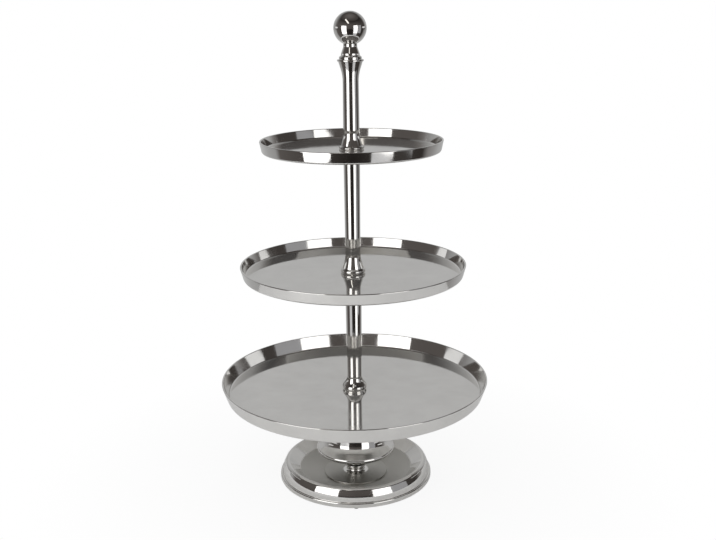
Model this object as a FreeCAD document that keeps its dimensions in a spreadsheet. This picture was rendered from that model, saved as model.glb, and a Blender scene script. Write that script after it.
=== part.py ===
"""Three-tier serving stand in polished aluminium.

A dished foot and a bell pedestal carry three round trays, with a turned column between each pair and
a column with a ball finial on top. Every piece is threaded on one axis: a tie bolt runs from the foot
through the pedestal and the bottom tray, and each column screws down on the stud below it.
"""
import FreeCAD, Part
import math
import os
import re
import Sketcher

# Driving sizes in millimetres: alias, value, what it is
sizes = [
    # Threads and fits
    ("thread_dia", 8, "M8 tie bolt and column studs"),
    ("thread_fit", 0.05, "radial clearance of a stud in its tapped bore"),
    ("hole_clear", 0.4, "radial clearance of a rod in a plain hole"),
    ("thread_grip", 14, "length of stud inside the column above it"),
    ("bore_spare", 3, "depth of a tapped bore past the end of its stud"),
    ("stud_root", 20, "length of stud set into the column below it"),
    ("thread_bevel", 0.8, "bevel on the ends of rods and studs"),
    ("washer_radius", 8, "flat washer"),
    ("washer_thick", 1.6, "flat washer"),
    ("washer_play", 0.3, "radial play of a washer in the recess of a column foot"),
    ("head_reach", 2.8, "countersunk head of the tie bolt, out from its hole"),
    # Foot
    ("pad_dia", 8, "felt pads under the foot"),
    ("pad_height", 1.2, "felt pads under the foot"),
    ("pad_count", 4, "felt pads under the foot"),
    ("lip_radius", 116.4, "outer lip of the foot"),
    ("lip_height", 8, "outer lip of the foot"),
    ("lip_round", 2.2, "edges of the lip"),
    ("lip_wall", 12, "width of the flat ring under the lip"),
    ("ledge_width", 3, "step from the lip in to the roll"),
    ("knee_inset", 4.5, "knee of the roll's outer wall, in from the lip"),
    ("knee_drop", 8.2, "knee of the roll's outer wall, below its shoulder"),
    ("knee_round", 28, "knee of the roll's outer wall"),
    ("shoulder_inset", 8.4, "shoulder of the roll, in from the lip"),
    ("shoulder_height", 25.2, "shoulder of the roll, where its slopes would meet"),
    ("shoulder_round", 5.5, "shoulder of the roll"),
    ("crest_width", 4.2, "crest of the roll, in from its shoulder"),
    ("crest_rise", 2.8, "crest of the roll, above its shoulder"),
    ("crest_round", 3.5, "crest of the roll"),
    ("bank_width", 17.8, "inner slope of the roll, from the crest in to the dish"),
    ("bank_round", 1.5, "crease between that slope and the dish"),
    ("dish_rise", 10, "edge of the dish, above its flat middle"),
    ("foot_wall", 3.5, "thickness of the dish"),
    ("under_clear", 0.5, "underside of the dish, above the underside of the lip"),
    ("roof_drop", 6.2, "top of the hollow under the roll, below its shoulder"),
    ("roof_heel", 2, "inner edge of that hollow, out from the edge of the dish"),
    ("hollow_round", 3, "top of that hollow"),
    # Pedestal
    ("stem_height", 49.6, "stem from the dish to the bell plate"),
    ("stem_radius", 12, "waist of the stem"),
    ("stem_foot_radius", 48.4, "flange at the foot of the stem"),
    ("stem_foot_edge", 1.6, "flange at its edge"),
    ("stem_edge_round", 0.8, "upper edge of the flange"),
    ("stem_gap", 1.6, "flat middle of the dish, out past the flange"),
    ("stem_flare_height", 2.2, "where the flange would meet the waist"),
    ("stem_flare_round", 4.2, "cove between flange and waist"),
    ("collar_height", 8.4, "collar on the stem, above the dish"),
    ("collar_thick", 5.6, "collar on the stem"),
    ("collar_radius", 15.5, "collar on the stem"),
    ("collar_low_share", 0.24, "lower edge of the collar's rim, of its thickness"),
    ("collar_high_share", 0.76, "upper edge of the collar's rim, of its thickness"),
    ("collar_round_share", 0.26, "edges of the collar's rim, of its thickness"),
    ("stem_head_radius", 27, "upper end of the stem"),
    ("stem_head_edge", 2, "straight edge of the upper end"),
    ("stem_head_share", 0.72, "start of the upper flare, of the stem's height"),
    ("stem_round", 8, "upper flare of the stem"),
    ("plate_thick", 4, "plate that closes the bell"),
    ("plate_fit", 0.2, "radial clearance of the plate in the bell"),
    ("bell_radius", 59.6, "lip of the bell"),
    ("bell_height", 84.9, "bell from lip to crown"),
    ("bell_lip_round", 2.4, "lower edge of the bell"),
    ("bell_lip_width", 5.1, "lip of the bell"),
    ("bell_mouth_round", 1.2, "inner edge of the lip"),
    ("bell_edge_height", 6, "side of the lip"),
    ("bell_edge_round", 3.6, "upper edge of the lip"),
    ("bell_waist_radius", 39.8, "waist of the bell, above its flare"),
    ("bell_flare_rise", 13.2, "where flare and waist would meet, above the side of the lip"),
    ("bell_flare_share", 2.4, "curve of the flare, of its rise"),
    ("bell_shoulder_share", 0.7, "where waist and shoulder would meet, of the bell's height"),
    ("bell_shoulder_round_share", 0.2, "curve of the shoulder, of the bell's height"),
    ("bell_neck_radius", 25, "neck of the bell"),
    ("neck_share", 0.875, "where shoulder and neck would meet, of the bell's height"),
    ("bell_neck_round", 13, "cove between shoulder and neck"),
    ("crown_thick", 6.5, "metal above the bell's cavity"),
    ("crown_round", 0.8, "edge of the crown"),
    ("skirt_depth", 16.2, "bell below the ledge that rests on the plate"),
    ("ledge_reach", 3.5, "ledge that rests on the plate"),
    ("cavity_share", 0.5, "where the cavity starts to close, of the bell's height"),
    ("cavity_top_radius", 16, "roof of the cavity"),
    ("support_height", 12, "support under the bottom tray"),
    ("support_neck_radius", 24, "lower end of the support"),
    ("support_radius", 44, "seat of the bottom tray"),
    ("support_edge", 2.5, "straight edge of the seat"),
    ("support_flare", 5, "start of the support's flare"),
    ("support_round", 4, "flare of the support"),
    # Trays
    ("tray_floor", 2.7, "sheet of a tray's floor"),
    ("rim_wall", 2.6, "rim of a tray"),
    ("rim_round_share", 0.36, "top edges of a rim, of its wall"),
    ("heel_round", 3.6, "outer bend from floor to rim"),
    ("bend_round", 2.4, "inner bend from floor to rim"),
    ("bottom_rim_radius", 200.6, "bottom tray at its rim"),
    ("bottom_rim_lean", 8, "bottom tray's rim out from its heel"),
    ("bottom_rim_height", 22.8, "bottom tray"),
    ("middle_rim_radius", 166.2, "middle tray at its rim"),
    ("middle_rim_lean", 4.8, "middle tray's rim out from its heel"),
    ("middle_rim_height", 17.3, "middle tray"),
    ("top_rim_radius", 131.6, "top tray at its rim"),
    ("top_rim_lean", 3.4, "top tray's rim out from its heel"),
    ("top_rim_height", 16.5, "top tray"),
    # Columns
    ("column_length", 180.3, "lower and middle columns"),
    ("bead_radius", 19.2, "bead at the foot of a column, where its two slopes would meet"),
    ("bead_tuck", 2.2, "underside of a bead, in from that meeting"),
    ("bead_step", 3.5, "crease above a bead, in from that meeting"),
    ("bead_middle_share", 0.5, "widest place of a bead, of its height"),
    ("bead_round_share", 0.52, "curve of a bead, of its height"),
    ("flare_round_share", 3.1, "curve of a flare, of its height"),
    ("cap_radius", 16.5, "head of a column, under its tray"),
    ("cap_edge", 3, "straight edge of the head"),
    ("cap_flare", 13, "flare under the head"),
    ("cap_round", 16, "flare under the head"),
    ("cap_edge_round", 1, "top edge of the head"),
    ("lower_bead_height", 9.6, "lower column"),
    ("lower_flare_rise", 6.4, "lower column's flare, above its bead"),
    ("lower_foot_radius", 10.9, "lower column's rod above its flare"),
    ("lower_head_radius", 12.1, "lower column's rod below its head"),
    ("middle_bead_height", 7.8, "middle column"),
    ("middle_flare_rise", 14, "middle column's flare, above its bead"),
    ("middle_foot_radius", 11, "middle column's rod above its flare"),
    ("middle_head_radius", 11.8, "middle column's rod below its head"),
    ("handle_bead_height", 5.4, "handle column"),
    ("handle_flare_rise", 12.6, "handle column's flare, above its bead"),
    ("handle_foot_radius", 11.7, "handle column's rod above its flare"),
    ("handle_head_radius", 11.2, "handle column's rod below its head"),
    ("handle_length", 123, "handle column"),
    ("handle_cap_radius", 17.2, "head of the handle column"),
    ("handle_cap_flare", 19, "flare under the handle column's head"),
    ("handle_cap_round", 60, "flare under the handle column's head"),
    # Finial
    ("finial_thread_dia", 6, "stud through the finial"),
    ("finial_root", 18, "finial stud inside the handle column"),
    ("finial_grip", 16, "finial stud inside the ball"),
    ("ring_radius", 18.7, "thin ring under the finial"),
    ("ring_thick", 2.8, "thin ring under the finial"),
    ("ring_round", 1, "edges of the thin ring"),
    ("neck_height", 21.4, "neck under the ball"),
    ("neck_base_radius", 15.9, "lower end of the neck"),
    ("neck_base_height", 4.2, "straight foot of the neck"),
    ("neck_base_round", 1, "upper edge of the neck's foot"),
    ("neck_waist_radius", 12.9, "neck above its foot"),
    ("neck_waist_height", 7.6, "neck above its foot"),
    ("neck_waist_round", 5, "neck above its foot"),
    ("neck_top_radius", 9.2, "neck under the ball"),
    ("ball_radius", 23.2, "ball finial"),
]

# Sums that several pieces share
hole = "thread_dia / 2 + hole_clear"
tapped = "thread_dia / 2 + thread_fit"
finial_hole = "finial_thread_dia / 2 + hole_clear"
finial_tapped = "finial_thread_dia / 2 + thread_fit"
seat_level = "under_clear + foot_wall"
dish_level = f"{seat_level} + dish_rise"
dish_flat = "stem_foot_radius + stem_gap"
plate_radius = "bell_waist_radius - plate_fit"

# Heights of the seats, each piece standing on the one below
foot_seat = "pad_height"
stem_seat = f"{foot_seat} + {seat_level}"
plate_seat = f"{stem_seat} + stem_height"
bell_seat = f"{plate_seat} + plate_thick - skirt_depth"
support_seat = f"{bell_seat} + bell_height"
bottom_seat = f"{support_seat} + support_height"
lower_seat = f"{bottom_seat} + tray_floor"
middle_tray_seat = f"{lower_seat} + column_length"
middle_seat = f"{middle_tray_seat} + tray_floor"
top_seat = f"{middle_seat} + column_length"
handle_seat = f"{top_seat} + tray_floor"
ring_seat = f"{handle_seat} + handle_length"
neck_seat = f"{ring_seat} + ring_thick"
ball_seat = f"{neck_seat} + neck_height"
bolt_seat = f"{foot_seat} + under_clear"

doc = FreeCAD.newDocument("ServingStand")
sheet = doc.addObject("Spreadsheet::Sheet", "Sizes")
for row, (alias, value, note) in enumerate(sizes, start=1):
    sheet.set(f"A{row}", note)
    sheet.set(f"B{row}", str(value))
    sheet.setAlias(f"B{row}", alias)
doc.recompute()


def bound(total):
    """The same sum, with each size read from the sheet."""
    return re.sub(r"\b[a-z]\w*\b(?!\()", r"Sizes.\g<0>", total)


def measure(total):
    """What a sum of sizes comes to."""
    return float(sheet.evalExpression(bound(total)))


def plane_of(body, role):
    """One of a body's own origin planes."""
    return next(f for f in body.Origin.OriginFeatures if f.Role == role)


def new_sketch(body, role):
    """An empty sketch on one of the body's origin planes."""
    sketch = body.newObject("Sketcher::SketchObject", body.Name + "_section")
    sketch.AttachmentSupport = [(plane_of(body, role), "")]
    sketch.MapMode = "FlatFace"
    return sketch


def hold(sketch, *relation):
    """Add one geometric relation."""
    return sketch.addConstraint(Sketcher.Constraint(*relation))


def size_it(sketch, total, *relation):
    """Add one dimension and tie it to the sheet."""
    index = hold(sketch, *relation, measure(total))
    sketch.setExpression(f"Constraints[{index}]", bound(total))


def place_point(sketch, geometry, end, across, up):
    """Fix a point by its distance from the axis and its height."""
    for total, axis, kind in ((across, -2, "DistanceX"), (up, -1, "DistanceY")):
        if total == "0":
            hold(sketch, "PointOnObject", geometry, end, axis)
        else:
            size_it(sketch, total, kind, -1, 1, geometry, end)


def rounding(before, corner, after, radius):
    """Where a tangent arc meets the two edges of a corner, the arc, and whether it turns left."""
    into = (corner - before).normalize()
    away = (after - corner).normalize()
    reach = radius * math.tan(into.getAngle(away) / 2)
    entry = corner - into * reach
    leave = corner + away * reach
    left = into.cross(away).z > 0
    inward = FreeCAD.Vector(-into.y, into.x, 0) * (radius if left else -radius)
    centre = entry + inward
    ends = (entry, leave) if left else (leave, entry)
    angles = [math.atan2(end.y - centre.y, end.x - centre.x) for end in ends]
    circle = Part.Circle(centre, FreeCAD.Vector(0, 0, 1), radius)
    return entry, leave, Part.ArcOfCircle(circle, *angles), left


def draw_outline(sketch, corners):
    """A closed outline of straight edges. A corner is (across, up), or (across, up, rounding)."""
    places = [FreeCAD.Vector(measure(c[0]), measure(c[1]), 0) for c in corners]
    rounds = {}
    for i, corner in enumerate(corners):
        if len(corner) == 3:
            after = places[(i + 1) % len(places)]
            rounds[i] = rounding(places[i - 1], places[i], after, measure(corner[2]))
    edges = []
    for i, place in enumerate(places):
        j = (i + 1) % len(places)
        start = rounds[i][1] if i in rounds else place
        stop = rounds[j][0] if j in rounds else places[j]
        edges.append(sketch.addGeometry(Part.LineSegment(start, stop)))
    for i, corner in enumerate(corners):
        before, after = edges[i - 1], edges[i]
        if i not in rounds:
            hold(sketch, "Coincident", before, 2, after, 1)
            place_point(sketch, after, 1, corner[0], corner[1])
            continue
        arc = sketch.addGeometry(rounds[i][2])
        point = sketch.addGeometry(Part.Point(places[i]), True)
        first, last = (1, 2) if rounds[i][3] else (2, 1)
        hold(sketch, "Tangent", before, 2, arc, first)
        hold(sketch, "Tangent", arc, last, after, 1)
        hold(sketch, "PointOnObject", point, 1, before)
        hold(sketch, "PointOnObject", point, 1, after)
        place_point(sketch, point, 1, corner[0], corner[1])
        size_it(sketch, corner[2], "Radius", arc)


def turned(label, seat, corners):
    """A piece turned about Z: half its section, anticlockwise, spun round and set on its seat."""
    body = doc.addObject("PartDesign::Body", label)
    section = new_sketch(body, "XZ_Plane")
    draw_outline(section, corners)
    spun = body.newObject("PartDesign::Revolution", label + "_turned")
    spun.Profile = section
    spun.ReferenceAxis = (section, ["V_Axis"])
    spun.Angle = 360
    body.setExpression("Placement.Base.z", bound(seat))
    return body


def foot_pads():
    """Small felt discs, evenly spaced under the middle of the foot's lip."""
    body = doc.addObject("PartDesign::Body", "foot_pads")
    body.AllowCompound = True
    disc = new_sketch(body, "XY_Plane")
    ring = "lip_radius - lip_wall / 2"
    centre = FreeCAD.Vector(measure(ring), 0, 0)
    up = FreeCAD.Vector(0, 0, 1)
    disc.addGeometry(Part.Circle(centre, up, measure("pad_dia / 2")))
    place_point(disc, 0, 3, ring, "0")
    size_it(disc, "pad_dia", "Diameter", 0)
    pad = body.newObject("PartDesign::Pad", "foot_pad")
    pad.Profile = disc
    pad.setExpression("Length", bound("pad_height"))
    doc.recompute()
    spread = body.newObject("PartDesign::PolarPattern", "foot_pads_spread")
    spread.Originals = [pad]
    spread.Axis = (disc, ["N_Axis"])
    spread.Angle = 360
    spread.setExpression("Occurrences", bound("pad_count"))
    body.Tip = spread
    return body


def base_foot():
    """The foot: a lip, a step and a roll round a shallow dish, hollow under the roll."""
    shoulder = "lip_radius - shoulder_inset"
    crest = f"{shoulder} - crest_width"
    dish_edge = f"{crest} - bank_width"
    return turned("base_foot", foot_seat, [
        ("lip_radius - lip_wall", "0"),
        ("lip_radius", "0", "lip_round"),
        ("lip_radius", "lip_height", "lip_round"),
        ("lip_radius - ledge_width", "lip_height"),
        ("lip_radius - knee_inset", "shoulder_height - knee_drop", "knee_round"),
        (shoulder, "shoulder_height", "shoulder_round"),
        (crest, "shoulder_height + crest_rise", "crest_round"),
        (dish_edge, dish_level, "bank_round"),
        (dish_flat, seat_level),
        (hole, seat_level),
        (hole, "under_clear + head_reach"),
        (f"{hole} + head_reach", "under_clear"),
        (dish_flat, "under_clear"),
        (f"{dish_edge} + roof_heel", f"{dish_level} - foot_wall"),
        (crest, "shoulder_height - roof_drop", "hollow_round"),
    ])


def pedestal_stem():
    """The stem between foot and bell: a wide flange, a waist, a collar and a flared head."""
    low = "collar_height + collar_thick * collar_low_share"
    high = "collar_height + collar_thick * collar_high_share"
    rim = "collar_thick * collar_round_share"
    return turned("pedestal_stem", stem_seat, [
        (hole, "0"),
        ("stem_foot_radius", "0"),
        ("stem_foot_radius", "stem_foot_edge", "stem_edge_round"),
        ("stem_radius", "stem_flare_height", "stem_flare_round"),
        ("stem_radius", "collar_height"),
        ("collar_radius", low, rim),
        ("collar_radius", high, rim),
        ("stem_radius", "collar_height + collar_thick"),
        ("stem_radius", "stem_height * stem_head_share", "stem_round"),
        ("stem_head_radius", "stem_height - stem_head_edge"),
        ("stem_head_radius", "stem_height"),
        (hole, "stem_height"),
    ])


def bell_plate():
    """The disc inside the bell that stands on the stem and carries the bell's ledge."""
    return turned("bell_plate", plate_seat, [
        (hole, "0"),
        (plate_radius, "0"),
        (plate_radius, "plate_thick"),
        (hole, "plate_thick"),
    ])


def pedestal_bell():
    """The bell: a lip that flares up to a waist, a shoulder, a neck, and a cavity above the plate."""
    ledge = f"{plate_radius} - ledge_reach"
    roof = "bell_height - crown_thick"
    return turned("pedestal_bell", bell_seat, [
        ("bell_radius - bell_lip_width", "0", "bell_mouth_round"),
        ("bell_radius", "0", "bell_lip_round"),
        ("bell_radius", "bell_edge_height", "bell_edge_round"),
        ("bell_waist_radius", "bell_edge_height + bell_flare_rise", "bell_flare_rise * bell_flare_share"),
        ("bell_waist_radius", "bell_height * bell_shoulder_share", "bell_height * bell_shoulder_round_share"),
        ("bell_neck_radius", "bell_height * neck_share", "bell_neck_round"),
        ("bell_neck_radius", "bell_height", "crown_round"),
        (hole, "bell_height"),
        (hole, roof),
        ("cavity_top_radius", roof),
        (ledge, "bell_height * cavity_share"),
        (ledge, "skirt_depth"),
        ("bell_waist_radius", "skirt_depth"),
    ])


def tray_support():
    """The flared seat on the bell's crown that carries the bottom tray."""
    return turned("tray_support", support_seat, [
        (hole, "0"),
        ("support_neck_radius", "0"),
        ("support_neck_radius", "support_flare", "support_round"),
        ("support_radius", "support_height - support_edge"),
        ("support_radius", "support_height"),
        (hole, "support_height"),
    ])


def tray(tier, seat):
    """A round tray: flat floor and a rim that leans outwards to a rounded edge."""
    rim = f"{tier}_rim_radius"
    heel = f"{rim} - {tier}_rim_lean"
    height = f"{tier}_rim_height"
    edge = "rim_wall * rim_round_share"
    return turned(f"{tier}_tray", seat, [
        (hole, "0"),
        (heel, "0", "heel_round"),
        (rim, height, edge),
        (f"{rim} - rim_wall", height, edge),
        (f"{heel} - rim_wall", "tray_floor", "bend_round"),
        (hole, "tray_floor"),
    ])


def column_foot(tier):
    """The lower end of a column's section: washer recess, bead, crease and flare."""
    recess = "washer_radius + washer_play"
    bead = f"{tier}_bead_height"
    rise = f"{tier}_flare_rise"
    return [
        (recess, "0"),
        ("bead_radius - bead_tuck", "0"),
        ("bead_radius", f"{bead} * bead_middle_share", f"{bead} * bead_round_share"),
        ("bead_radius - bead_step", bead),
        (f"{tier}_foot_radius", f"{bead} + {rise}", f"{rise} * flare_round_share"),
    ]


def column_bore():
    """The axis side of a column's section, down from its core to the washer recess."""
    depth = "washer_thick + thread_grip + bore_spare"
    return [
        ("0", depth),
        (tapped, depth),
        (tapped, "washer_thick"),
        ("washer_radius + washer_play", "washer_thick"),
    ]


def column(tier, seat):
    """A turned column: bead foot, slender rod, flared head, and a bore for the stud at each end."""
    root = "column_length - stud_root"
    head = f"{tier}_head_radius"
    return turned(f"{tier}_column", seat, column_foot(tier) + [
        (head, "column_length - cap_flare", "cap_round"),
        ("cap_radius", "column_length - cap_edge"),
        ("cap_radius", "column_length", "cap_edge_round"),
        (tapped, "column_length"),
        (tapped, root),
        ("0", root),
    ] + column_bore())


def handle_column():
    """The top column, by which the stand is lifted; its head flares up to the finial."""
    root = "handle_length - finial_root"
    return turned("handle_column", handle_seat, column_foot("handle") + [
        ("handle_head_radius", "handle_length - handle_cap_flare", "handle_cap_round"),
        ("handle_cap_radius", "handle_length"),
        (finial_tapped, "handle_length"),
        (finial_tapped, root),
        ("0", root),
    ] + column_bore())


def finial_ring():
    """The thin ring that stands proud between the handle column and the finial's neck."""
    return turned("finial_ring", ring_seat, [
        (finial_hole, "0"),
        ("ring_radius", "0", "ring_round"),
        ("ring_radius", "ring_thick", "ring_round"),
        (finial_hole, "ring_thick"),
    ])


def finial_neck():
    """The finial's neck: a short foot, then a hollow curve up to the ball."""
    return turned("finial_neck", neck_seat, [
        (finial_hole, "0"),
        ("neck_base_radius", "0"),
        ("neck_base_radius", "neck_base_height", "neck_base_round"),
        ("neck_waist_radius", "neck_waist_height", "neck_waist_round"),
        ("neck_top_radius", "neck_height"),
        (finial_hole, "neck_height"),
    ])


def finial_ball():
    """A ball cut flat where it meets the neck, with a bore for the finial's stud."""
    sunk = "sqrt(ball_radius ^ 2 - neck_top_radius ^ 2)"
    ball = doc.addObject("Part::Sphere", "ball_round")
    ball.setExpression("Radius", bound("ball_radius"))
    ball.setExpression("Placement.Base.z", bound(sunk))
    keep = doc.addObject("Part::Cylinder", "ball_keep")
    keep.setExpression("Radius", bound("ball_radius * 2"))
    keep.setExpression("Height", bound("ball_radius * 2"))
    flat = doc.addObject("Part::Common", "ball_flat")
    flat.Base = ball
    flat.Tool = keep
    bore = doc.addObject("Part::Cylinder", "ball_bore")
    bore.setExpression("Radius", bound(finial_tapped))
    bore.setExpression("Height", bound("finial_grip"))
    cut = doc.addObject("Part::Cut", "finial_ball")
    cut.Base = flat
    cut.Tool = bore
    cut.setExpression("Placement.Base.z", bound(ball_seat))
    return cut


def rod(label, seat, radius, length):
    """A straight threaded stud with bevelled ends."""
    return turned(label, seat, [
        ("0", "0"),
        (f"{radius} - thread_bevel", "0"),
        (radius, "thread_bevel"),
        (radius, f"{length} - thread_bevel"),
        (f"{radius} - thread_bevel", length),
        ("0", length),
    ])


def tie_bolt():
    """The countersunk bolt that runs from under the foot up into the lower column."""
    half = "thread_dia / 2"
    head = f"{hole} + head_reach"
    length = f"{bottom_seat} + tray_floor + washer_thick + thread_grip - ({bolt_seat})"
    return turned("tie_bolt", bolt_seat, [
        ("0", "0"),
        (head, "0"),
        (half, f"{head} - {half}"),
        (half, f"{length} - thread_bevel"),
        (f"{half} - thread_bevel", length),
        ("0", length),
    ])


def studs():
    """A stud in the head of each column, and the stud through the finial."""
    half = "thread_dia / 2"
    stud = "stud_root + tray_floor + washer_thick + thread_grip"
    finial = "finial_root + ring_thick + neck_height + finial_grip"
    return [
        rod("lower_stud", f"{middle_tray_seat} - stud_root", half, stud),
        rod("middle_stud", f"{top_seat} - stud_root", half, stud),
        rod("finial_stud", f"{ring_seat} - finial_root", "finial_thread_dia / 2", finial),
    ]


def washer(label, seat):
    """A plain washer."""
    return turned(label, seat, [
        (hole, "0"),
        ("washer_radius", "0"),
        ("washer_radius", "washer_thick"),
        (hole, "washer_thick"),
    ])


pieces = [
    foot_pads(),
    base_foot(),
    pedestal_stem(),
    bell_plate(),
    pedestal_bell(),
    tray_support(),
    tie_bolt(),
    tray("bottom", bottom_seat),
    washer("lower_washer", lower_seat),
    column("lower", lower_seat),
    tray("middle", middle_tray_seat),
    washer("middle_washer", middle_seat),
    column("middle", middle_seat),
    tray("top", top_seat),
    washer("handle_washer", handle_seat),
    handle_column(),
    finial_ring(),
    finial_neck(),
    finial_ball(),
    *studs(),
]
doc.recompute()

# Every object is sound before any piece is written
for item in doc.Objects:
    if {"Invalid", "Error"} & set(item.State):
        raise RuntimeError(f"{item.Name} failed: {item.State}")
for piece in pieces:
    if piece.Shape.isNull() or not piece.Shape.isValid() or not piece.Shape.Solids:
        raise RuntimeError(f"{piece.Label} has no sound shape")

os.makedirs("parts", exist_ok=True)
for piece in pieces:
    piece.Shape.exportStep(f"parts/{piece.Label}.step")
    box = piece.Shape.optimalBoundingBox(True, False)
    print(f"{piece.Label}: {len(piece.Shape.Solids)} solid(s), z {box.ZMin:.2f} to {box.ZMax:.2f},"
          f" across {box.XLength:.2f}, {piece.Shape.Volume / 1000:.1f} cm3")
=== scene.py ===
import bpy
import bmesh
import math
from mathutils import Matrix, Vector


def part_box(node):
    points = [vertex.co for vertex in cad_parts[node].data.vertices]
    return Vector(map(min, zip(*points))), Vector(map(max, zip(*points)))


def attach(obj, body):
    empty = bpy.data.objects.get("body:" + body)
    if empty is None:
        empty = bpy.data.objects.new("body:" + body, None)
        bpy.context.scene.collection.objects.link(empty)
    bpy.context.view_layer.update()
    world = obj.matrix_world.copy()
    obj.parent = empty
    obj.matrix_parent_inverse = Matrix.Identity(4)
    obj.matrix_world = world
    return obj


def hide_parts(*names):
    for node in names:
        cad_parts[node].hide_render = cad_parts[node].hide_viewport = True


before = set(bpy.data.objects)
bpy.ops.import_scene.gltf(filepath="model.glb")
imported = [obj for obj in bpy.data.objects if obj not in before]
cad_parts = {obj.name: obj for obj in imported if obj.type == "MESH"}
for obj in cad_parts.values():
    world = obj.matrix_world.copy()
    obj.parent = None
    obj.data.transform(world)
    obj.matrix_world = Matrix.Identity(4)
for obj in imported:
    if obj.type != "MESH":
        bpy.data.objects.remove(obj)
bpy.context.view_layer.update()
mm = 0.001
scene = bpy.context.scene
scene.view_settings.view_transform = "Standard"


# Nodes of a material
def newMaterial(name):
    material = bpy.data.materials.new(name)
    material.use_nodes = True
    material.node_tree.nodes.clear()
    return material, material.node_tree


def addNode(tree, kind, **settings):
    node = tree.nodes.new(kind)
    for key, value in settings.items():
        setattr(node, key, value)
    return node


def feed(tree, source, target, sourceSocket=0, targetSocket=0):
    tree.links.new(source.outputs[sourceSocket], target.inputs[targetSocket])


def shadedMaterial(name):
    material, tree = newMaterial(name)
    out = addNode(tree, "ShaderNodeOutputMaterial")
    shader = addNode(tree, "ShaderNodeBsdfPrincipled")
    feed(tree, shader, out, "BSDF", "Surface")
    return material, tree, shader


def objectPlace(tree, stretch=(1, 1, 1)):
    place = addNode(tree, "ShaderNodeTexCoord")
    mapping = addNode(tree, "ShaderNodeMapping")
    mapping.inputs["Scale"].default_value = stretch
    feed(tree, place, mapping, "Object", "Vector")
    return mapping


def noiseOf(tree, place, scale, detail, rough=0.5):
    noise = addNode(tree, "ShaderNodeTexNoise")
    noise.inputs["Scale"].default_value = scale
    noise.inputs["Detail"].default_value = detail
    noise.inputs["Roughness"].default_value = rough
    feed(tree, place, noise, 0, "Vector")
    return noise


def spread(tree, source, low, high, toLow, toHigh, socket="Fac"):
    ranged = addNode(tree, "ShaderNodeMapRange")
    for name, value in (("From Min", low), ("From Max", high), ("To Min", toLow), ("To Max", toHigh)):
        ranged.inputs[name].default_value = value
    feed(tree, source, ranged, socket, "Value")
    return ranged


def tintBetween(tree, source, span, first, second):
    tint = addNode(tree, "ShaderNodeMix", data_type="RGBA")
    tint.inputs["A"].default_value = first
    tint.inputs["B"].default_value = second
    feed(tree, spread(tree, source, *span, 0, 1), tint, "Result", "Factor")
    return tint


def mathOf(tree, operation, first, second, firstSocket=0, secondSocket=0):
    node = addNode(tree, "ShaderNodeMath", operation=operation)
    feed(tree, first, node, firstSocket, 0)
    if isinstance(second, (int, float)):
        node.inputs[1].default_value = second
    else:
        feed(tree, second, node, secondSocket, 1)
    return node


# Distance from the stand's axis, for the marks, tones and fades that run round it
def axisDistance(tree):
    flat = objectPlace(tree, (1, 1, 0))
    length = addNode(tree, "ShaderNodeVectorMath", operation="LENGTH")
    feed(tree, flat, length, "Vector", 0)
    return length


# Each rub: its smoothest and roughest spots, its clear and hazed tints; reach and edge in millimetres
polish = {
    "polished": (0.035, 0.1, (0.83, 0.82, 0.8, 1), (0.78, 0.77, 0.75, 1)),
    "worn": (0.05, 0.12, (0.83, 0.82, 0.8, 1), (0.78, 0.77, 0.75, 1)),
    "dull": (0.3, 0.42, (0.8, 0.79, 0.77, 1), (0.7, 0.69, 0.67, 1)),
    "hazeScale": 26, "hazeDetail": 5, "hazeRough": 0.6, "tintSpan": (0.35, 0.7), "rubSpan": (0.38, 0.72),
    "scratchScale": 900, "scratchDetail": 2, "scratchStretch": (1, 1, 0.12),
    "ringScale": 700, "ringDetail": 3, "markStrength": 0.012, "markReach": 0.2,
    # The satin tint is a satin finish, darkened as painted shade and painted dark reflection under the bell
    # and trays
    "satinShadeTint": (0.54, 0.53, 0.5, 1), "satinRough": 0.3, "satinEdge": 1,
}
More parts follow.
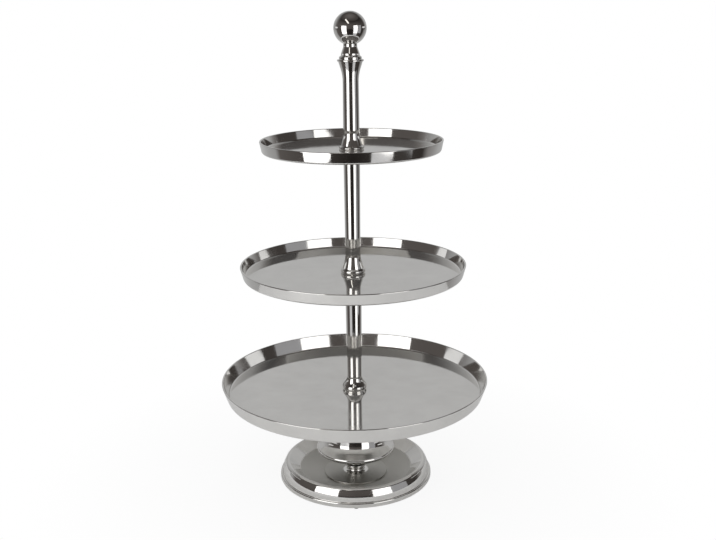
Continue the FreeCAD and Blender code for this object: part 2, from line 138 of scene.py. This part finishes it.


# Marks run round the piece, the metal in a satin band of distances from the axis is left dull and darker,
# which is a satin finish with painted shade and painted dark reflection, and a wiped surface scatters a
# share of its light
def polishedMetal(name, marks=0.4, rubs="polished", satin=None, wiped=0.0):
    material, tree, metal = shadedMaterial(name)
    smooth, rough, clear, hazed = polish[rubs]
    metal.inputs["Metallic"].default_value = 1 - wiped
    place = objectPlace(tree)
    haze = noiseOf(tree, place, polish["hazeScale"], polish["hazeDetail"], polish["hazeRough"])
    tint = tintBetween(tree, haze, polish["tintSpan"], clear, hazed)
    rubbed = spread(tree, haze, *polish["rubSpan"], smooth, rough)
    roughSocket = "Result"
    if satin:
        inner, outer = (limit * mm for limit in satin)
        edge = polish["satinEdge"] * mm
        past = spread(tree, axisDistance(tree), inner - edge, inner + edge, 0, 1, "Value")
        within = spread(tree, axisDistance(tree), outer - edge, outer + edge, 1, 0, "Value")
        inside = mathOf(tree, "MULTIPLY", past, within, "Result", "Result")
        # Painted shade: the satin band darkens the tint as well as roughening it
        satinShaded = addNode(tree, "ShaderNodeMix", data_type="RGBA")
        satinShaded.inputs["B"].default_value = polish["satinShadeTint"]
        feed(tree, inside, satinShaded, "Value", "Factor")
        feed(tree, tint, satinShaded, "Result", "A")
        tint = satinShaded
        added = mathOf(tree, "MULTIPLY", inside, polish["satinRough"])
        rubbed = mathOf(tree, "ADD", rubbed, added, "Result")
        roughSocket = "Value"
    feed(tree, tint, metal, "Result", "Base Color")
    feed(tree, rubbed, metal, roughSocket, "Roughness")
    stretched = objectPlace(tree, polish["scratchStretch"])
    scratch = noiseOf(tree, stretched, polish["scratchScale"], polish["scratchDetail"])
    split = addNode(tree, "ShaderNodeSeparateXYZ")
    feed(tree, place, split, "Vector", "Vector")
    outAndUp = addNode(tree, "ShaderNodeCombineXYZ")
    feed(tree, axisDistance(tree), outAndUp, "Value", "X")
    feed(tree, split, outAndUp, "Z", "Y")
    rings = noiseOf(tree, outAndUp, polish["ringScale"], polish["ringDetail"])
    height = mathOf(tree, "ADD", scratch, mathOf(tree, "MULTIPLY", rings, marks, "Fac"), "Fac")
    bump = addNode(tree, "ShaderNodeBump")
    bump.inputs["Strength"].default_value = polish["markStrength"]
    bump.inputs["Distance"].default_value = polish["markReach"] * mm
    feed(tree, height, bump, "Value", "Height")
    feed(tree, bump, metal, "Normal", "Normal")
    return material


castMetal = polishedMetal("castPolish")
trayMetal = polishedMetal("trayPolish", marks=0.8, rubs="worn")
trayFloorMetal = polishedMetal("trayFloorPolish", marks=0.8, rubs="worn", wiped=0.13)
dullMetal = polishedMetal("dullUnderside", marks=1.2, rubs="dull")
# The foot's dish and the stem's flange lie under the bell and trays: their satin band is a satin finish
# with painted shade
footMetal = polishedMetal("footPolish", marks=0.8, satin=(0, 86))
stemMetal = polishedMetal("stemPolish", satin=(19, 60))
print("materials ready")


# What all turned pieces share: gaps in metres, angles in degrees, facing as the upward part of a normal
turning = {
    "noGap": 1e-7, "mergeGap": 1e-6, "arcStep": 5, "fewestSteps": 3, "sharpAngle": 14, "normalWeight": 100,
    "downFacing": -0.6, "dullIndex": 1, "upFacing": 0.9, "wipedIndex": 2,
}


def meshObject(name, bm):
    mesh = bpy.data.meshes.new(name)
    bm.to_mesh(mesh)
    bm.free()
    made = bpy.data.objects.new(name, mesh)
    scene.collection.objects.link(made)
    return made


def spinRound(bm, angle, steps, closed=False):
    whole = bm.verts[:] + bm.edges[:]
    bmesh.ops.spin(
        bm, geom=whole, cent=(0, 0, 0), axis=(0, 0, 1), angle=angle, steps=steps, use_merge=closed,
    )


# A section is drawn with a pen that runs straight and turns round each rounded corner
def runTo(bm, pen, place):
    if (pen.co - place).length < turning["noGap"]:
        return pen
    moved = bmesh.ops.extrude_vert_indiv(bm, verts=[pen])["verts"][0]
    moved.co = place
    return moved


def cornerArc(before, corner, after, radius):
    into = (corner - before).normalized()
    away = (after - corner).normalized()
    turn = into.angle(away)
    left = into.cross(away).y < 0
    reach = radius * math.tan(turn / 2)
    side = Vector((-into.z, 0, into.x)) * (radius if left else -radius)
    entry = corner - into * reach
    return entry, entry + side, -turn if left else turn


def drawSection(bm, corners, seat):
    places = [Vector((corner[0] * mm, 0, corner[1] * mm + seat)) for corner in corners]
    pen = None
    for index, corner in enumerate(corners):
        target = places[index]
        rounded = len(corner) == 3
        if rounded:
            after = places[(index + 1) % len(places)]
            target, centre, angle = cornerArc(places[index - 1], target, after, corner[2] * mm)
        if pen is None:
            pen = bmesh.ops.create_vert(bm, co=target)["vert"][0]
            first = pen
        else:
            pen = runTo(bm, pen, target)
        if rounded:
            steps = max(turning["fewestSteps"], math.ceil(abs(angle) / math.radians(turning["arcStep"])))
            turned = bmesh.ops.spin(bm, geom=[pen], cent=centre, axis=(0, 1, 0), angle=angle, steps=steps)
            pen = [part for part in turned["geom_last"] if isinstance(part, bmesh.types.BMVert)][0]
    bmesh.ops.contextual_create(bm, geom=[pen, first])


def finishTurned(bm, plan):
    spinRound(bm, math.tau, plan["turns"], closed=True)
    bmesh.ops.remove_doubles(bm, verts=bm.verts[:], dist=turning["mergeGap"])
    bmesh.ops.dissolve_degenerate(bm, edges=bm.edges[:], dist=turning["noGap"])
    bmesh.ops.recalc_face_normals(bm, faces=bm.faces[:])
    for face in bm.faces:
        face.smooth = True
        if plan.get("dullBelow") and face.normal.z < turning["downFacing"]:
            face.material_index = turning["dullIndex"]
        if plan.get("wipedAbove") and face.normal.z > turning["upFacing"]:
            face.material_index = turning["wipedIndex"]
    piece = meshObject(plan["name"], bm)
    piece.data.set_sharp_from_angle(angle=math.radians(turning["sharpAngle"]))
    weights = piece.modifiers.new("evenShading", "WEIGHTED_NORMAL")
    weights.keep_sharp = True
    weights.weight = turning["normalWeight"]
    return piece


# Materials go on in the order of their indices; a piece that is wiped above is also dull below
def settle(piece, plan, material):
    piece.data.materials.append(material)
    if plan.get("dullBelow"):
        piece.data.materials.append(dullMetal)
    if plan.get("wipedAbove"):
        piece.data.materials.append(trayFloorMetal)
    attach(piece, plan["body"])
    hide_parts(plan["node"])


def turnPiece(plan, material):
    bm = bmesh.new()
    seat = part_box(plan["node"])[0][2]
    drawSection(bm, plan["section"], seat)
    settle(finishTurned(bm, plan), plan, material)


# Sections are in millimetres: distance from the axis, height above the piece's seat, rounding
foot = {
    "name": "footDish", "node": "base_foot", "body": "base", "slot": "cast_metal", "turns": 256,
    "dullBelow": True,
    "section": [
        (104.4, 0), (116.4, 0, 2.2), (116.4, 8, 2.2), (113.4, 8), (111.9, 17, 28), (108, 25.2, 5.5),
        (103.8, 28, 3.5), (86, 14, 1.5), (50, 4), (4.4, 4), (4.4, 3.3), (7.2, 0.5), (50, 0.5), (88, 10.5),
        (103.8, 19, 3),
    ],
}
turnPiece(foot, footMetal)

stem = {
    "name": "stemFlange", "node": "pedestal_stem", "body": "base", "slot": "cast_metal", "turns": 160,
    "section": [
        (4.4, 0), (48.4, 0), (48.4, 1.6, 0.8), (12, 2.2, 4.2), (12, 8.4), (15.5, 9.744, 1.456),
        (15.5, 12.656, 1.456), (12, 14), (12, 35.712, 8), (27, 47.6), (27, 49.6), (4.4, 49.6),
    ],
}
turnPiece(stem, stemMetal)

bellPlate = {
    "name": "bellPlate", "node": "bell_plate", "body": "base", "slot": "cast_metal", "turns": 160,
    "section": [(4.4, 0), (39.6, 0), (39.6, 4), (4.4, 4)],
}
turnPiece(bellPlate, dullMetal)

bell = {
    "name": "bellShell", "node": "pedestal_bell", "body": "base", "slot": "cast_metal", "turns": 224,
    "dullBelow": True,
    "section": [
        (54.5, 0, 1.2), (59.6, 0, 2.4), (59.6, 6, 3.6), (44.5, 14.5, 16), (39.9, 36, 30),
        (39.9, 59.43, 16.98), (25, 74.288, 13), (25, 84.9, 0.8), (4.4, 84.9), (4.4, 78.4), (16, 78.4),
        (36.1, 42.45), (36.1, 16.2), (39.8, 16.2),
    ],
}
turnPiece(bell, castMetal)

traySeat = {
    "name": "traySeat", "node": "tray_support", "body": "base", "slot": "cast_metal", "turns": 160,
    "dullBelow": True,
    "section": [(4.4, 0), (24, 0), (24, 5, 4), (44, 9.5), (44, 12), (4.4, 12)],
}
turnPiece(traySeat, castMetal)
print("pedestal turned")

bottomTray = {
    "name": "trayBottom", "node": "bottom_tray", "body": "base", "slot": "tray_metal", "turns": 288,
    "dullBelow": True, "wipedAbove": True,
    "section": [
        (4.4, 0), (192.6, 0, 3.6), (200.6, 22.8, 0.936), (198, 22.8, 0.936), (190, 2.7, 2.4), (4.4, 2.7),
    ],
}
turnPiece(bottomTray, trayMetal)

middleTray = {
    "name": "trayMiddle", "node": "middle_tray", "body": "lower_column", "slot": "tray_metal", "turns": 288,
    "dullBelow": True, "wipedAbove": True,
    "section": [
        (4.4, 0), (161.4, 0, 3.6), (166.2, 17.3, 0.936), (163.6, 17.3, 0.936), (158.8, 2.7, 2.4),
        (4.4, 2.7),
    ],
}
turnPiece(middleTray, trayMetal)

topTray = {
    "name": "trayTop", "node": "top_tray", "body": "middle_column", "slot": "tray_metal", "turns": 256,
    "dullBelow": True, "wipedAbove": True,
    "section": [
        (4.4, 0), (128.2, 0, 3.6), (131.6, 16.5, 0.936), (129, 16.5, 0.936), (125.6, 2.7, 2.4), (4.4, 2.7),
    ],
}
turnPiece(topTray, trayMetal)
print("trays turned")

lowerColumn = {
    "name": "columnLower", "node": "lower_column", "body": "lower_column", "slot": "cast_metal",
    "turns": 128,
    "section": [
        (8.3, 0), (17, 0), (19.2, 4.8, 4.992), (15.7, 9.6), (10.9, 16, 19.84), (12.1, 167.3, 16),
        (16.5, 177.3), (16.5, 180.3, 1), (4.05, 180.3), (4.05, 160.3), (0, 160.3), (0, 18.6), (4.05, 18.6),
        (4.05, 1.6), (8.3, 1.6),
    ],
}
turnPiece(lowerColumn, castMetal)

middleColumn = {
    "name": "columnMiddle", "node": "middle_column", "body": "middle_column", "slot": "cast_metal",
    "turns": 128,
    "section": [
        (8.3, 0), (17, 0), (19.2, 3.9, 4.056), (15.7, 7.8), (11, 21.8, 43.4), (11.8, 167.3, 16),
        (16.5, 177.3), (16.5, 180.3, 1), (4.05, 180.3), (4.05, 160.3), (0, 160.3), (0, 18.6), (4.05, 18.6),
        (4.05, 1.6), (8.3, 1.6),
    ],
}
turnPiece(middleColumn, castMetal)

handle = {
    "name": "handleColumn", "node": "handle_column", "body": "handle", "slot": "cast_metal", "turns": 128,
    "section": [
        (8.3, 0), (17, 0), (19.2, 2.7, 2.808), (15.7, 5.4), (11.7, 18, 39.06), (11.2, 104, 60), (17.2, 123),
        (3.05, 123), (3.05, 105), (0, 105), (0, 18.6), (4.05, 18.6), (4.05, 1.6), (8.3, 1.6),
    ],
}
turnPiece(handle, castMetal)
print("columns turned")

ring = {
    "name": "finialRing", "node": "finial_ring", "body": "handle", "slot": "cast_metal", "turns": 128,
    "section": [(3.4, 0), (18.7, 0, 1), (18.7, 2.8, 1), (3.4, 2.8)],
}
turnPiece(ring, castMetal)

neck = {
    "name": "finialNeck", "node": "finial_neck", "body": "handle", "slot": "cast_metal", "turns": 128,
    "section": [
        (3.4, 0), (15.9, 0), (15.9, 3.6, 1), (13.2, 5.6, 1), (12.9, 8.4, 3), (9.7, 17.4, 6), (9.7, 21.4),
        (3.4, 21.4),
    ],
}
turnPiece(neck, castMetal)

# Lengths of the ball are in millimetres
ball = {
    "name": "finialBall", "node": "finial_ball", "body": "handle", "slot": "cast_metal", "turns": 160,
    "radius": 23.2, "neckRadius": 9.2, "bore": 3.05, "boreDepth": 16, "sweepSteps": 64,
}


def turnBall(plan, material):
    bm = bmesh.new()
    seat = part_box(plan["node"])[0][2]
    sunk = math.sqrt(plan["radius"] ** 2 - plan["neckRadius"] ** 2)
    centre = Vector((0, 0, sunk * mm + seat))
    pen = bmesh.ops.create_vert(bm, co=(0, 0, plan["boreDepth"] * mm + seat))["vert"][0]
    for across, up in ((plan["bore"], plan["boreDepth"]), (plan["bore"], 0), (plan["neckRadius"], 0)):
        pen = runTo(bm, pen, Vector((across * mm, 0, up * mm + seat)))
    sweep = math.pi / 2 + math.asin(sunk / plan["radius"])
    bmesh.ops.spin(bm, geom=[pen], cent=centre, axis=(0, -1, 0), angle=sweep, steps=plan["sweepSteps"])
    settle(finishTurned(bm, plan), plan, material)


turnBall(ball, castMetal)
print("finial turned")


# Hardware stays as the CAD made it, with the threads in its finish; pitch and pitting are in millimetres
zinc = {
    "tint": (0.56, 0.57, 0.58, 1), "cloudTint": (0.66, 0.64, 0.57, 1), "tintSpan": (0.4, 0.65),
    "cloudScale": 160, "cloudDetail": 4, "cloudRough": 0.6,
    "smooth": 0.2, "dull": 0.36, "rubSpan": (0.35, 0.7),
    "pitch": 1.25, "waveRate": 20, "pitting": 0.05,
}


def zincSteel(name, threaded):
    material, tree, steel = shadedMaterial(name)
    steel.inputs["Metallic"].default_value = 1
    place = objectPlace(tree)
    cloud = noiseOf(tree, place, zinc["cloudScale"], zinc["cloudDetail"], zinc["cloudRough"])
    tint = tintBetween(tree, cloud, zinc["tintSpan"], zinc["tint"], zinc["cloudTint"])
    feed(tree, tint, steel, "Result", "Base Color")
    rubbed = spread(tree, cloud, *zinc["rubSpan"], zinc["smooth"], zinc["dull"])
    feed(tree, rubbed, steel, "Result", "Roughness")
    bump = addNode(tree, "ShaderNodeBump")
    if threaded:
        pitch = zinc["pitch"] * mm
        ridges = addNode(tree, "ShaderNodeTexWave", wave_type="BANDS", bands_direction="Z")
        ridges.inputs["Scale"].default_value = math.tau / (zinc["waveRate"] * pitch)  # one ridge a pitch
        feed(tree, place, ridges, "Vector", "Vector")
        bump.inputs["Distance"].default_value = pitch / 2
        feed(tree, ridges, bump, "Fac", "Height")
    else:
        bump.inputs["Distance"].default_value = zinc["pitting"] * mm
        feed(tree, cloud, bump, "Fac", "Height")
    feed(tree, bump, steel, "Normal", "Normal")
    return material


# The depth of the fluff is in millimetres
felt = {
    "tint": (0.03, 0.028, 0.026, 1), "fluffTint": (0.1, 0.095, 0.088, 1), "tintSpan": (0.3, 0.7),
    "fluffScale": 1400, "fluffDetail": 6, "fluffRough": 0.7, "fluffDepth": 0.3,
    "rough": 0.95, "sheen": 0.3,
}


def feltFinish():
    material, tree, cloth = shadedMaterial("darkFelt")
    cloth.inputs["Roughness"].default_value = felt["rough"]
    cloth.inputs["Sheen Weight"].default_value = felt["sheen"]
    fluff = noiseOf(tree, objectPlace(tree), felt["fluffScale"], felt["fluffDetail"], felt["fluffRough"])
    tint = tintBetween(tree, fluff, felt["tintSpan"], felt["tint"], felt["fluffTint"])
    feed(tree, tint, cloth, "Result", "Base Color")
    bump = addNode(tree, "ShaderNodeBump")
    bump.inputs["Distance"].default_value = felt["fluffDepth"] * mm
    feed(tree, fluff, bump, "Fac", "Height")
    feed(tree, bump, cloth, "Normal", "Normal")
    return material


def refinish(material, *nodes):
    for node in nodes:
        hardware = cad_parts[node]
        hardware.data.materials.clear()
        hardware.data.materials.append(material)


refinish(zincSteel("threadedZinc", True), "tie_bolt", "lower_stud", "middle_stud", "finial_stud")
refinish(zincSteel("plainZinc", False), "lower_washer", "middle_washer", "handle_washer")
refinish(feltFinish(), "foot_pads")
print("hardware finished")


# Studio cards are seen in the polish and not by the camera
def glowMaterial(name, colour, strength=1.0):
    material, tree = newMaterial(name)
    out = addNode(tree, "ShaderNodeOutputMaterial")
    glow = addNode(tree, "ShaderNodeEmission")
    glow.inputs["Color"].default_value = (*colour, 1)
    glow.inputs["Strength"].default_value = strength
    feed(tree, glow, out, "Emission", "Surface")
    return material, tree, glow


def reflectionCard(name, bm, material):
    card = meshObject(name, bm)
    card.data.materials.append(material)
    card.visible_camera = False
    card.visible_diffuse = False
    card.visible_shadow = False


# A card that stands round the stand, swept between two bearings from the front
def curvedCard(plan, material):
    bm = bmesh.new()
    radius = plan["radius"]
    low = bmesh.ops.create_vert(bm, co=(0, -radius, plan["low"]))["vert"][0]
    runTo(bm, low, Vector((0, -radius, plan["high"])))
    start, stop = (math.radians(bearing) for bearing in plan["bearings"])
    bmesh.ops.rotate(bm, verts=bm.verts[:], cent=(0, 0, 0), matrix=Matrix.Rotation(start, 3, "Z"))
    spinRound(bm, stop - start, plan["steps"])
    reflectionCard(plan["name"], bm, material)


# Dark tones are a little warm, and are plain grey from the tone where that ends
warmTones = {"most": 0.16, "endsAt": 0.3}


def warmGrey(tone):
    warmth = warmTones["most"] * max(0, 1 - tone / warmTones["endsAt"])
    return (tone * (1 + warmth), tone, tone * (1 - warmth / 2), 1)


def toneRamp(tree, source, socket, low, high, stops):
    ramp = addNode(tree, "ShaderNodeValToRGB")
    elements = ramp.color_ramp.elements
    elements.remove(elements[1])
    elements[0].position = (stops[0][0] - low) / (high - low)
    elements[0].color = warmGrey(stops[0][1])
    for value, tone in stops[1:]:
        elements.new((value - low) / (high - low)).color = warmGrey(tone)
    feed(tree, spread(tree, source, low, high, 0, 1, socket), ramp, "Result", "Fac")
    return ramp


# Lengths are in metres, bearings in degrees from the front, positive to the right; tones are grey levels
wall = {
    "name": "studioWall", "radius": 4.0, "low": -4.0, "high": 5.0, "bearings": (-180, 180), "steps": 96,
    "aboveTable": (
        (-180, 0.5), (-168, 0.52), (-150, 0.48), (-130, 0.36), (-112, 0.16), (-100, 0.09), (-62, 0.09),
        (-20, 0.1), (0, 0.08), (55, 0.07), (85, 0.05), (115, 0.05), (126, 0.2), (138, 0.46), (168, 0.52),
        (180, 0.5),
    ),
    "belowTable": (
        (-180, 0.5), (-165, 0.55), (-135, 0.42), (-112, 0.34), (-104, 0.1), (-60, 0.06), (-20, 0.03),
        (0, 0.015), (60, 0.04), (102, 0.03), (113, 0.22), (140, 0.4), (172, 0.5), (180, 0.5),
    ),
    "tableLine": (0.0, 0.5),
    "upward": ((0, 0.76), (1.0, 0.95), (2.1, 1.0), (2.8, 0.8), (4.2, 0.42), (5.0, 0.3)),
}


def studioWall(plan):
    material, tree, glow = glowMaterial(plan["name"], (1, 1, 1))
    split = addNode(tree, "ShaderNodeSeparateXYZ")
    feed(tree, objectPlace(tree), split, "Vector", "Vector")
    bearing = mathOf(tree, "ARCTAN2", split, mathOf(tree, "MULTIPLY", split, -1, "Y"), "X")
    degrees = mathOf(tree, "MULTIPLY", bearing, math.degrees(1))
    above = toneRamp(tree, degrees, "Value", *plan["bearings"], plan["aboveTable"])
    below = toneRamp(tree, degrees, "Value", *plan["bearings"], plan["belowTable"])
    rise = toneRamp(tree, split, "Z", 0, plan["high"], plan["upward"])
    shaded = addNode(tree, "ShaderNodeMix", data_type="RGBA", blend_type="MULTIPLY")
    shaded.inputs["Factor"].default_value = 1
    feed(tree, above, shaded, "Color", "A")
    feed(tree, rise, shaded, "Color", "B")
    joined = addNode(tree, "ShaderNodeMix", data_type="RGBA")
    feed(tree, spread(tree, split, *plan["tableLine"], 0, 1, "Z"), joined, "Result", "Factor")
    feed(tree, below, joined, "Color", "A")
    feed(tree, shaded, joined, "Result", "B")
    feed(tree, joined, glow, "Result", "Color")
    curvedCard(plan, material)


studioWall(wall)

ceiling = {
    "name": "ceilingGlow", "radius": 4.2, "segments": 64,
    "tones": ((0, 0.13), (1.0, 0.11), (2.5, 0.065), (4.2, 0.04)),
}


def ceilingCard(plan):
    material, tree, glow = glowMaterial(plan["name"], (1, 1, 1))
    ramp = toneRamp(tree, axisDistance(tree), "Value", 0, plan["radius"], plan["tones"])
    feed(tree, ramp, glow, "Color", "Color")
    bm = bmesh.new()
    lift = Matrix.Translation((0, 0, wall["high"]))
    bmesh.ops.create_circle(
        bm, cap_ends=True, segments=plan["segments"], radius=plan["radius"], matrix=lift,
    )
    reflectionCard(plan["name"], bm, material)


ceilingCard(ceiling)

# Plain cards, in the order in which they are hung
glowCards = (
    {
        "name": "sidePanel", "radius": 2.0, "low": -0.4, "high": 1.2, "bearings": (54, 82), "steps": 12,
        "colour": (0.97, 0.97, 1), "tone": 0.34,
    },
    {
        "name": "sideGlow1", "radius": 3.8, "low": 0.6, "high": 1.0, "bearings": (95, 121), "steps": 8,
        "colour": (1, 1, 1), "tone": 0.8,
    },
    {
        "name": "sideGlow2", "radius": 3.8, "low": 0.6, "high": 1.0, "bearings": (-121, -95), "steps": 8,
        "colour": (1, 1, 1), "tone": 0.8,
    },
    {
        "name": "leftLowGlow", "radius": 0.85, "low": -0.4, "high": 0.05, "bearings": (-60.5, -25),
        "steps": 8, "colour": (0.98, 0.98, 1), "tone": 0.62,
    },
    {
        "name": "rightLowGlow", "radius": 2.0, "low": -1.2, "high": -0.57, "bearings": (25, 54), "steps": 8,
        "colour": (0.98, 0.98, 1), "tone": 0.62,
    },
)
for card in glowCards:
    curvedCard(card, glowMaterial(card["name"], card["colour"], card["tone"])[0])

strip = {
    "name": "ceilingStrip", "start": (-0.86, -0.67, 2.33), "end": (-0.29, -1.63, 1.67), "width": 0.26,
    "colour": (1, 0.97, 0.92), "tone": 1.4,
}


def stripCard(plan):
    start = Vector(plan["start"])
    along = Vector(plan["end"]) - start
    across = along.cross(start).normalized() * plan["width"] / 2
    bm = bmesh.new()
    first = bmesh.ops.create_vert(bm, co=start - across)["vert"][0]
    runTo(bm, first, start + across)
    edge = bmesh.ops.extrude_edge_only(bm, edges=bm.edges[:])["geom"]
    ends = [part for part in edge if isinstance(part, bmesh.types.BMVert)]
    bmesh.ops.translate(bm, verts=ends, vec=along)
    reflectionCard(plan["name"], bm, glowMaterial(plan["name"], plan["colour"], plan["tone"])[0])


stripCard(strip)

leftBox = {
    "name": "leftSoftbox", "bearing": -43, "distance": 0.85, "low": 0.05, "high": 0.9, "width": 0.54,
    "glow": 1.8,
}
rightBox = {
    "name": "rightSoftbox", "bearing": 39.5, "distance": 2.0, "low": -0.57, "high": 1.27, "width": 1.03,
    "glow": 1.6,
}


def softbox(plan):
    lamp = bpy.data.lights.new(plan["name"], "AREA")
    lamp.shape = "RECTANGLE"
    lamp.size = plan["width"]
    lamp.size_y = plan["high"] - plan["low"]
    lamp.energy = plan["glow"] * math.pi * lamp.size * lamp.size_y  # the same glow at any size
    holder = bpy.data.objects.new(plan["name"], lamp)
    scene.collection.objects.link(holder)
    bearing = math.radians(plan["bearing"])
    aim = Vector((-math.sin(bearing), math.cos(bearing), 0))
    place = Vector((0, 0, (plan["high"] + plan["low"]) / 2)) - aim * plan["distance"]
    holder.matrix_world = Matrix.Translation(place) @ aim.to_track_quat("-Z", "Y").to_matrix().to_4x4()
    holder.visible_camera = False


softbox(leftBox)
softbox(rightBox)

# Pale floor: white to the camera away from the stand, and near it a share stays matt and keeps the shadow
floorPlan = {
    "name": "paleFloor", "radius": 0.65, "segments": 128, "colour": (0.86, 0.86, 0.85, 1),
    "fadeSpan": (0.1, 0.5), "whiteShare": (0.9, 1), "mirrored": 0.1,
}


def layFloor(plan):
    material, tree = newMaterial(plan["name"])
    out = addNode(tree, "ShaderNodeOutputMaterial")
    mix = addNode(tree, "ShaderNodeMixShader")
    matt = addNode(tree, "ShaderNodeBsdfDiffuse")
    matt.inputs["Color"].default_value = plan["colour"]
    white = addNode(tree, "ShaderNodeEmission")
    rays = addNode(tree, "ShaderNodeLightPath")
    fade = spread(tree, axisDistance(tree), *plan["fadeSpan"], *plan["whiteShare"], "Value")
    mirrored = mathOf(tree, "MAXIMUM", rays, rays, "Is Glossy Ray", "Is Transmission Ray")
    mirrored = mathOf(tree, "MULTIPLY", mirrored, plan["mirrored"])
    seen = mathOf(tree, "MAXIMUM", rays, mirrored, "Is Camera Ray")
    share = mathOf(tree, "MULTIPLY", seen, fade, "Value", "Result")
    feed(tree, share, mix, "Value", 0)
    feed(tree, matt, mix, "BSDF", 1)
    feed(tree, white, mix, "Emission", 2)
    feed(tree, mix, out, "Shader", "Surface")
    bm = bmesh.new()
    bmesh.ops.create_circle(bm, cap_ends=True, segments=plan["segments"], radius=plan["radius"])
    floor = meshObject(plan["name"], bm)
    floor.data.materials.append(material)


layFloor(floorPlan)

# White to the camera and in reflections, soft grey as light
worldPlan = {"name": "studioWorld", "soft": (0.55, 0.55, 0.56, 1), "white": (1, 1, 1, 1)}


def lightWorld(plan):
    world = bpy.data.worlds.new(plan["name"])
    scene.world = world
    world.use_nodes = True
    tree = world.node_tree
    tree.nodes.clear()
    out = addNode(tree, "ShaderNodeOutputWorld")
    mix = addNode(tree, "ShaderNodeMixShader")
    soft = addNode(tree, "ShaderNodeBackground")
    soft.inputs["Color"].default_value = plan["soft"]
    white = addNode(tree, "ShaderNodeBackground")
    white.inputs["Color"].default_value = plan["white"]
    rays = addNode(tree, "ShaderNodeLightPath")
    seen = mathOf(tree, "MAXIMUM", rays, rays, "Is Camera Ray", "Is Glossy Ray")
    seen = mathOf(tree, "MAXIMUM", seen, rays, "Value", "Is Transmission Ray")
    feed(tree, seen, mix, "Value", 0)
    feed(tree, soft, mix, "Background", 1)
    feed(tree, white, mix, "Background", 2)
    feed(tree, mix, out, "Shader", "Surface")


lightWorld(worldPlan)
print("studio lit")

# Angles are in degrees, with the pitch below the level, and the lens and sensor in millimetres
view = {
    "name": "photoView", "place": (0, -1.4311, 0.7158), "pitch": 15.14, "yaw": -0.286, "roll": -0.68,
    "lens": 50.42, "sensor": 36,
}


def turnAbout(axis, degrees):
    return Matrix.Rotation(math.radians(degrees), 4, axis)


def placeCamera(plan):
    data = bpy.data.cameras.new(plan["name"])
    data.sensor_width = plan["sensor"]
    data.lens = plan["lens"]
    camera = bpy.data.objects.new(plan["name"], data)
    scene.collection.objects.link(camera)
    tip = turnAbout("X", 90 - plan["pitch"])  # an unturned camera looks straight down
    turn = turnAbout("Z", plan["yaw"]) @ tip @ turnAbout("Z", plan["roll"])
    camera.matrix_world = Matrix.Translation(plan["place"]) @ turn
    scene.camera = camera


placeCamera(view)
print("camera placed")
